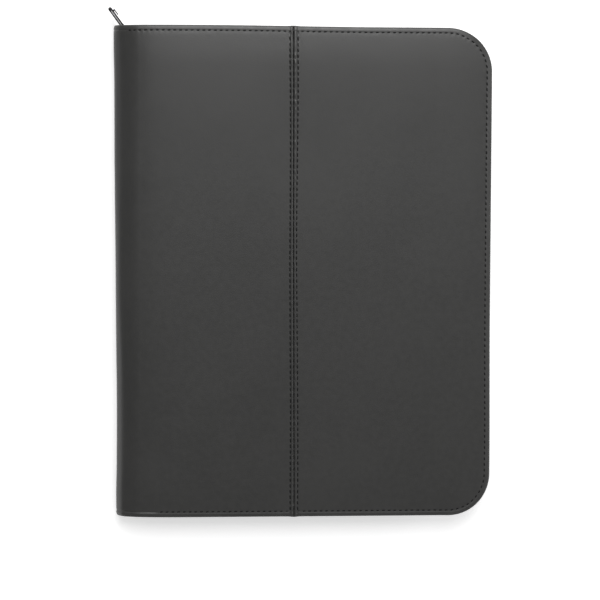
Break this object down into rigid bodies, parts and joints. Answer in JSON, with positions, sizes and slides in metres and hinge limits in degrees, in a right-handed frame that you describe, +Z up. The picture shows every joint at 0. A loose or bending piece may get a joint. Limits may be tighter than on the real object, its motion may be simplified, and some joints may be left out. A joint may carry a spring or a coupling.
{
  "type": "zippered padfolio",
  "caption": "Dark grey leatherette padfolio with a soft rounded spine, topstitched centre seam, zip round three sides, writing pad and pockets inside.",
  "frame": {"origin": "Centre of the back cover's underside (252 mm by 330 mm, the pull not counted), on the rest face.", "axes": "+X from the spine to the fore edge, +Y from the foot to the head, +Z up through the closed thickness; lies shut on its back cover."},
  "size_m": [0.2564, 0.3419, 0.026],
  "materials": {
    "leatherette": "smooth matte dark grey leatherette with a fine grain",
    "pocket_leatherette": "thin matte dark grey leatherette",
    "foam": "thin padding foam, hidden",
    "stiffener_board": "grey board, hidden",
    "lining_fabric": "black woven polyester lining",
    "thread": "black polyester thread",
    "zip_tape": "black woven zip tape",
    "zip_coil": "black nylon coil",
    "zip_metal": "dark nickel plated zinc",
    "pad_board": "grey chipboard",
    "paper": "white ruled writing paper",
    "binding": "dark grey binding tape",
    "elastic": "black ribbed elastic"
  },
  "bodies": {
    "back_cover": {"back_outer_panel": "leatherette", "back_foam": "foam", "back_board": "stiffener_board", "back_lining": "lining_fabric", "back_edge_stitching": "thread", "zip_tape_back": "zip_tape", "zip_coil_back": "zip_coil", "zip_bottom_stop": "zip_metal", "pad_sleeve": "pocket_leatherette", "pad_backing_board": "pad_board", "pad_sheets": "paper", "pad_binding": "binding", "pen_loop": "elastic"},
    "spine": {"spine_outer_panel": "leatherette", "spine_foam": "foam", "spine_lining": "lining_fabric"},
    "front_cover": {"front_left_panel": "leatherette", "front_right_panel": "leatherette", "seam_stitching": "thread", "front_edge_stitching": "thread", "front_foam": "foam", "front_board": "stiffener_board", "front_lining": "lining_fabric", "zip_tape_front": "zip_tape", "zip_coil_front": "zip_coil", "document_pocket": "pocket_leatherette", "card_pocket_upper": "pocket_leatherette", "card_pocket_middle": "pocket_leatherette", "card_pocket_lower": "pocket_leatherette"},
    "zip_slider": {"slider_body": "zip_metal", "slider_bail": "zip_metal"},
    "zip_pull": {"pull_tab": "zip_metal"}
  },
  "joints": [
    {"name": "cover_fold", "type": "hinge", "parent": "spine", "child": "front_cover", "pos_m": [-0.12179, 0, 0.02179], "axis": [0, -1, 0], "range_deg": [0, 90]},
    {"name": "spine_fold", "type": "hinge", "parent": "back_cover", "child": "spine", "pos_m": [-0.12179, 0, 0.00421], "axis": [0, -1, 0], "range_deg": [0, 90]},
    {"name": "zip_slide", "type": "slide", "parent": "back_cover", "child": "zip_slider", "axis": [1, 0, 0], "range_m": [0, 0.2]},
    {"name": "pull_swing", "type": "hinge", "parent": "zip_slider", "child": "zip_pull", "pos_m": [-0.1183, 0.1619, 0.013], "axis": [0, 0, 1], "range_deg": [-116, 4]}
  ],
  "couplings": [
    {"joint": "spine_fold", "follows": "cover_fold", "ratio": 1}
  ]
}
